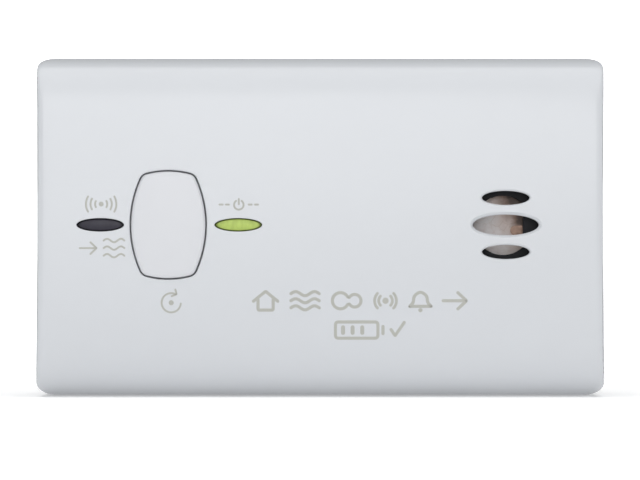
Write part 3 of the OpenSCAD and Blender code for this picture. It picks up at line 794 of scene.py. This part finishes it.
def plastic(name, colour, rough, grain_mm=0.3, grain_h=0.0005, orange_h=0.0006, vary=0.012, ior=1.49):
    """Moulded plastic: a slow drift of tone, a soft unevenness of the gloss, orange peel and a fine grain."""
    s = Shader(name)
    s.set(Metallic=0.0, IOR=ior)
    tone = s.ramp(s.noise(30, 1), [(0.2, shade(colour, 1 - vary)), (0.8, colour)])
    s.link(tone, "Base Color")
    s.link(s.remap(s.noise(14.0, 1), rough - 0.012, rough + 0.012, 0.1, 0.9), "Roughness")
    s.bump([(s.noise(6.0, 0), orange_h), (s.noise(grain_mm, 1), grain_h)])
    return s.mat


def metal(name, colour, rough, brushed=None, vary=0.12):
    s = Shader(name)
    s.set(Metallic=1.0)
    tone = s.ramp(s.noise(2.5, 5), [(0.3, shade(colour, 1 - vary)), (0.7, colour)])
    s.link(tone, "Base Color")
    s.link(s.remap(s.noise(0.6, 4, stretch=brushed), rough - 0.08, rough + 0.12), "Roughness")
    s.bump([(s.noise(0.3, 3, stretch=brushed), 0.003)])
    return s.mat


def lens_material(name, colour, glow=0.0, centre=None, edge_dark=0.35):
    """Tinted moulding; around a centre, in mm, the outermost band of the lens is darker."""
    s = Shader(name)
    s.set(Metallic=0.0, IOR=1.45, Specular_IOR_Level=0.3)
    streaks = s.noise(1.3, 3, stretch=(1, 1, 0.4))
    tone = s.ramp(streaks, [(0.3, shade(colour, 0.82)), (0.7, shade(colour, 1.1))])
    if centre is not None:
        away = s.vector("SUBTRACT", s.coord.outputs["Object"], (centre * MM, 0, FACE_Z * MM))
        flat = s.vector("MULTIPLY", away, (2 / (LENS_W * MM), 0, 2 / (LENS_H * MM)))
        size = s.remap(s.vector("LENGTH", flat), 0, 1, 0.7, 1.0)
        dark = (edge_dark, edge_dark, edge_dark, 1)
        tone = s.multiply(tone, s.ramp(size, [(0.0, WHITE), (0.55, WHITE), (0.85, dark)]))
    s.link(tone, "Base Color")
    s.link(s.remap(s.noise(0.8, 3), 0.3, 0.45), "Roughness")
    if glow:
        s.link(tone, "Emission Color")
        s.set(Emission_Strength=glow)
    s.bump([(s.noise(0.5, 2), 0.003)])
    return s.mat


MATERIALS = {}
# where the painted shade on the ceramic disc begins and ends along x, in mm, and how strongly height adds to
# it
PAINTED_SHADE_FROM, PAINTED_SHADE_TO, PAINTED_SHADE_SLANT = HORN_X - 2.0, HORN_X + 4.3, 0.55


def build_materials():
    m = MATERIALS
    m["cover_plastic"] = plastic("cover_plastic", (0.563, 0.58, 0.605, 1), 0.245)
    m["button_plastic"] = plastic("button_plastic", (0.575, 0.585, 0.61, 1), 0.26)
    m["case_plastic"] = plastic("case_plastic", (0.575, 0.59, 0.615, 1), 0.42, 0.45, 0.006, 0.002)
    m["bracket_plastic"] = plastic("bracket_plastic", (0.59, 0.605, 0.63, 1), 0.48, 0.45, 0.007, 0.002)
    m["ink"] = plastic("ink", (0.40, 0.402, 0.368, 1), 0.5, 0.2, 0.001, 0.0, 0.06)
    m["smoked_lens"] = lens_material("smoked_lens", (0.03, 0.028, 0.04, 1), 0, ALARM_X, 0.3)
    m["green_lens"] = lens_material("green_lens", (0.36, 0.46, 0.11, 1), 0.14, OPERATE_X, 0.3)
    m["black_plastic"] = plastic("black_plastic", (0.006, 0.007, 0.010, 1), 0.6, 0.3, 0.003, 0.002, 0.2,
                                 ior=1.36)
    m["foam_ring"] = plastic("foam_ring", (0.05, 0.05, 0.052, 1), 0.9, 0.25, 0.03, 0.0, 0.3)
    m["board_laminate"] = plastic("board_laminate", (0.02, 0.16, 0.06, 1), 0.4, 0.8, 0.01, 0.0, 0.35)
    m["piezo_ceramic"] = ceramic_material()
    m["sensor_plastic"] = plastic("sensor_plastic", (0.72, 0.70, 0.64, 1), 0.5)
    m["filter_felt"] = plastic("filter_felt", (0.02, 0.02, 0.02, 1), 0.95, 0.2, 0.05, 0.0, 0.4)
    m["chip_epoxy"] = plastic("chip_epoxy", (0.018, 0.018, 0.02, 1), 0.6, 0.15, 0.006, 0.0, 0.25)
    m["chip_ceramic"] = plastic("chip_ceramic", (0.42, 0.29, 0.16, 1), 0.6, 0.2, 0.004, 0.0, 0.2)
    m["ferrite"] = plastic("ferrite", (0.035, 0.035, 0.038, 1), 0.65, 0.2, 0.01, 0.0, 0.3)
    m["capacitor_sleeve"] = plastic("capacitor_sleeve", (0.02, 0.035, 0.12, 1), 0.25, 0.4, 0.003, 0.01, 0.15)
    m["red_led_epoxy"] = lens_material("red_led_epoxy", (0.5, 0.02, 0.015, 1))
    m["green_led_epoxy"] = lens_material("green_led_epoxy", (0.15, 0.5, 0.06, 1), 0.6)
    m["zinc_steel"] = metal("zinc_steel", (0.55, 0.55, 0.53, 1), 0.32)
    m["tinned_metal"] = metal("tinned_metal", (0.66, 0.66, 0.63, 1), 0.3)
    m["sensor_steel"] = metal("sensor_steel", (0.6, 0.6, 0.61, 1), 0.28, brushed=(1, 12, 1))
    m["brass_disc"] = metal("brass_disc", (0.72, 0.52, 0.22, 1), 0.3)
    m["contact_bronze"] = metal("contact_bronze", (0.27, 0.185, 0.145, 1), 0.45)
    m["gold_pins"] = metal("gold_pins", (0.83, 0.62, 0.25, 1), 0.25)
    m["copper_wire"] = metal("copper_wire", (0.6, 0.22, 0.08, 1), 0.3)
    m["cell_jacket"] = cell_material()


def ceramic_material():
    """Silvered ceramic with a cloudy tone, hairline crazing and painted shade towards its upper right."""
    s = Shader("piezo_ceramic")
    s.set(IOR=1.5)
    cloud = s.ramp(s.noise(3.2, 3), [(0.3, (0.80, 0.72, 0.69, 1)), (0.7, (0.95, 0.92, 0.92, 1))])
    cells = s.tree.nodes.new("ShaderNodeTexVoronoi")
    cells.feature = "DISTANCE_TO_EDGE"
    cells.inputs["Scale"].default_value = 1 / (2.1 * MM)
    cells.inputs["Randomness"].default_value = 1.0
    # noise bends the cells, so that the hairlines do not run straight
    warp = s.vector("MULTIPLY_ADD", s.noise(2.4, 3), (1.4 * MM,) * 3, s.coord.outputs["Object"])
    s.tree.links.new(warp, cells.inputs["Vector"])
    gap = s.math("ADD", cells.outputs["Distance"], s.remap(s.noise(3.0, 2), 0.0, 0.05, 0.45, 0.6))
    line = s.ramp(s.remap(gap, 0, 1, 0.0, 0.08), [(0.0, (0.66, 0.57, 0.50, 1)), (0.8, WHITE)])
    crazed = s.multiply(cloud, line, 0.35)
    # the side of the disc next to the contact is stained brown
    # painted shade: the disc turns browner and darker towards its upper right, where the housing shades it
    x, _, z = s.axes()
    rise = s.math("MULTIPLY", s.math("SUBTRACT", z, FACE_Z * MM), PAINTED_SHADE_SLANT)
    side = s.remap(s.math("ADD", x, rise), 0.0, 1.0, PAINTED_SHADE_FROM * MM, PAINTED_SHADE_TO * MM)
    side = s.math("ADD", side, s.remap(s.noise(2.0, 3), -0.12, 0.12))
    painted_shade = s.ramp(side, [(0.0, WHITE), (0.45, (0.86, 0.78, 0.74, 1)), (0.8, (0.42, 0.31, 0.26, 1)),
                          (1.0, (0.16, 0.12, 0.10, 1))])
    s.link(s.multiply(crazed, painted_shade), "Base Color")
    s.link(s.remap(s.noise(1.0, 3), 0.4, 0.6), "Roughness")
    s.bump([(s.noise(2.0, 2), 0.02), (s.noise(0.3, 2), 0.004)])
    return s.mat


def cell_material():
    """Dark sleeve of a battery with a plain light band."""
    s = Shader("cell_jacket")
    s.set(IOR=1.5)
    lo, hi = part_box("battery_1")
    pos = s.remap(s.axes()[0], 0, 1, lo.x, hi.x)
    dark, light, edge = (0.03, 0.05, 0.075, 1), (0.5, 0.51, 0.5, 1), (0.1, 0.28, 0.33, 1)
    r = s.ramp(pos, [(0.0, dark), (0.60, edge), (0.62, light), (0.70, light), (0.72, edge), (0.73, dark)])
    s.link(r, "Base Color")
    s.link(s.remap(s.noise(2.0, 4), 0.22, 0.34), "Roughness")
    s.bump([(s.noise(6.0, 2), 0.01)])
    return s.mat


SLOTS = {part["node"]: part["material_slot"] for part in frame["record"]["subparts"]}
REPLACED = {"front_cover", "test_button", "alarm_lens", "operate_lens"}
# widths of the soft edges of the frame's own pieces
SOFT = {"back_case": 0.35, "wall_bracket": 0.3, "circuit_board": 0.1, "microcontroller": 0.12,
        "capacitor": 0.3, "horn_housing": 0.25, "sensor_can": 0.3, "sensor_base": 0.2,
        "inductor_core": 0.2}


def dress(node, bevel_mm=0.0, segments=2):
    """Gives a CAD node its material, and softens its edges where that helps."""
    obj = NODES[node]
    obj.data.materials.clear()
    obj.data.materials.append(MATERIALS[SLOTS[node]])
    if bevel_mm:
        # the frame's faces arrive unjoined, so they are joined before their edges can be rounded
        mod = obj.modifiers.new("joined_faces", "WELD")
        mod.merge_threshold = 0.002 * MM
        mod = obj.modifiers.new("soft_edges", "BEVEL")
        mod.width = bevel_mm * MM
        mod.segments = segments
        mod.limit_method = "ANGLE"
        mod.angle_limit = math.radians(40)
        mod.harden_normals = True
        mod.use_clamp_overlap = True


def place(piece, body, slot, *nodes):
    """Puts a new piece on its body, in place of the CAD nodes that it stands for."""
    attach(piece, body)
    if nodes:
        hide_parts(*nodes)


# ---------- studio ----------

# the paper glows softly by the part and brightly far behind it and beside it; distances in metres
FLOOR_GLOW, WALL_GLOW = 0.25, 0.85
GLOW_FROM, GLOW_TO, GLOW_ASIDE = 0.05, 0.7, 0.6
WORLD_TINT, WORLD_GLOW = (0.97, 0.985, 1.0, 1), 0.24

# the wall is low, so that the rolled upper edge reflects the dim space above it and reads as a line
PAPER_W, PAPER_FRONT = 12000.0, -12000.0
WALL_Y, WALL_H, WALL_BEND = 2200.0, 520.0, 300.0

# lamps: place, point they face, size and radiance
KEY_AT, KEY_LOOK, KEY_SIZE, KEY_RADIANCE, KEY_ROLL = (-30, -900, 365), (-30, 0, 365), (480, 640), 3.15, 17
SKY_AT, SKY_LOOK, SKY_SIZE, SKY_RADIANCE = (0, -450, 1100), (0, -449.9, 0), (1400, 2100), 1.6

CAMERA_DISTANCE, CAMERA_BELOW_DEG = 620.0, 1.1
CAMERA_AIM = (-0.05, FRONT_Y, FACE_Z - 3.0)
FOCAL_LENGTH, SENSOR_W = 176.5, 36.0


def stage():
    """A sheet of paper that is the floor and bends up into a wall."""
    mat = Shader("studio_paper")
    grey = mat.ramp(mat.noise(400, 2), [(0.3, (0.88, 0.88, 0.88, 1)), (0.7, (0.9, 0.9, 0.9, 1))])
    mat.link(grey, "Base Color")
    mat.set(Roughness=0.9, Emission_Color=WHITE)
    x, y, _ = mat.axes()
    aside = mat.math("SUBTRACT", mat.math("ABSOLUTE", x), GLOW_ASIDE)
    away = mat.math("MAXIMUM", y, aside)
    mat.link(mat.remap(away, FLOOR_GLOW, WALL_GLOW, GLOW_FROM, GLOW_TO), "Emission Strength")
    bend = [(WALL_Y - WALL_BEND + WALL_BEND * math.sin(t), WALL_BEND - WALL_BEND * math.cos(t))
            for t in np.linspace(0, math.pi / 2, 24)]
    line = [(PAPER_FRONT, 0.0)] + bend + [(WALL_Y, WALL_H)]
    b = Builder()
    across = (-PAPER_W, -PAPER_W / 3, PAPER_W / 3, PAPER_W)
    rows = [b.ring([(x, y, z) for x in across]) for y, z in line]
    b.loft(rows, closed=False)
    b.make("studio_paper", mat.mat, 60)


def area_light(name, at, look, size, radiance, roll=0.0):
    """A rectangular lamp whose power follows from its size in millimetres and its radiance."""
    data = bpy.data.lights.new(name, "AREA")
    data.shape = "RECTANGLE"
    data.size, data.size_y = size[0] * MM, size[1] * MM
    data.energy = radiance * math.pi * size[0] * size[1] * MM * MM
    obj = bpy.data.objects.new(name, data)
    bpy.context.scene.collection.objects.link(obj)
    obj.location = Vector(at) * MM
    obj.rotation_mode = "QUATERNION"
    turn = Quaternion((0, 0, 1), math.radians(roll))
    obj.rotation_quaternion = (Vector(look) - Vector(at)).to_track_quat("-Z", "Y") @ turn
    obj.visible_camera = False


def lights():
    world = bpy.data.worlds.new("studio")
    bpy.context.scene.world = world
    world.use_nodes = True
    back = world.node_tree.nodes["Background"]
    back.inputs["Color"].default_value = WORLD_TINT
    back.inputs["Strength"].default_value = WORLD_GLOW
    area_light("key", KEY_AT, KEY_LOOK, KEY_SIZE, KEY_RADIANCE, KEY_ROLL)
    area_light("sky", SKY_AT, SKY_LOOK, SKY_SIZE, SKY_RADIANCE)
    bpy.context.scene.view_settings.view_transform = "Standard"


def camera():
    data = bpy.data.cameras.new("camera")
    obj = bpy.data.objects.new("camera", data)
    bpy.context.scene.collection.objects.link(obj)
    bpy.context.scene.camera = obj
    aim, below = Vector(CAMERA_AIM), math.radians(CAMERA_BELOW_DEG)
    at = aim + Vector((0, -CAMERA_DISTANCE * math.cos(below), -CAMERA_DISTANCE * math.sin(below)))
    obj.location = at * MM
    obj.rotation_mode = "QUATERNION"
    obj.rotation_quaternion = (aim - at).to_track_quat("-Z", "Y")
    data.lens, data.sensor_width = FOCAL_LENGTH, SENSOR_W
    data.clip_start, data.clip_end = 0.01, 30.0
    data.dof.use_dof = False


# ---------- assembly ----------

build_materials()
place(front_cover(MATERIALS["cover_plastic"]), "alarm", "cover_plastic", "front_cover")
place(test_button(MATERIALS["button_plastic"]), "button", "button_plastic", "test_button")
place(lens("alarm_light", ALARM_X, ALARM_LO, ALARM_HI, MATERIALS["smoked_lens"]),
      "alarm", "smoked_lens", "alarm_lens")
place(lens("operate_light", OPERATE_X, OPERATE_LO, OPERATE_HI, MATERIALS["green_lens"]),
      "alarm", "green_lens", "operate_lens")
place(printed_marks(MATERIALS["ink"]), "alarm", "cover_plastic")
for name in NODES:
    if name not in REPLACED:
        dress(name, SOFT.get(name, 0.0))
stage()
lights()
camera()
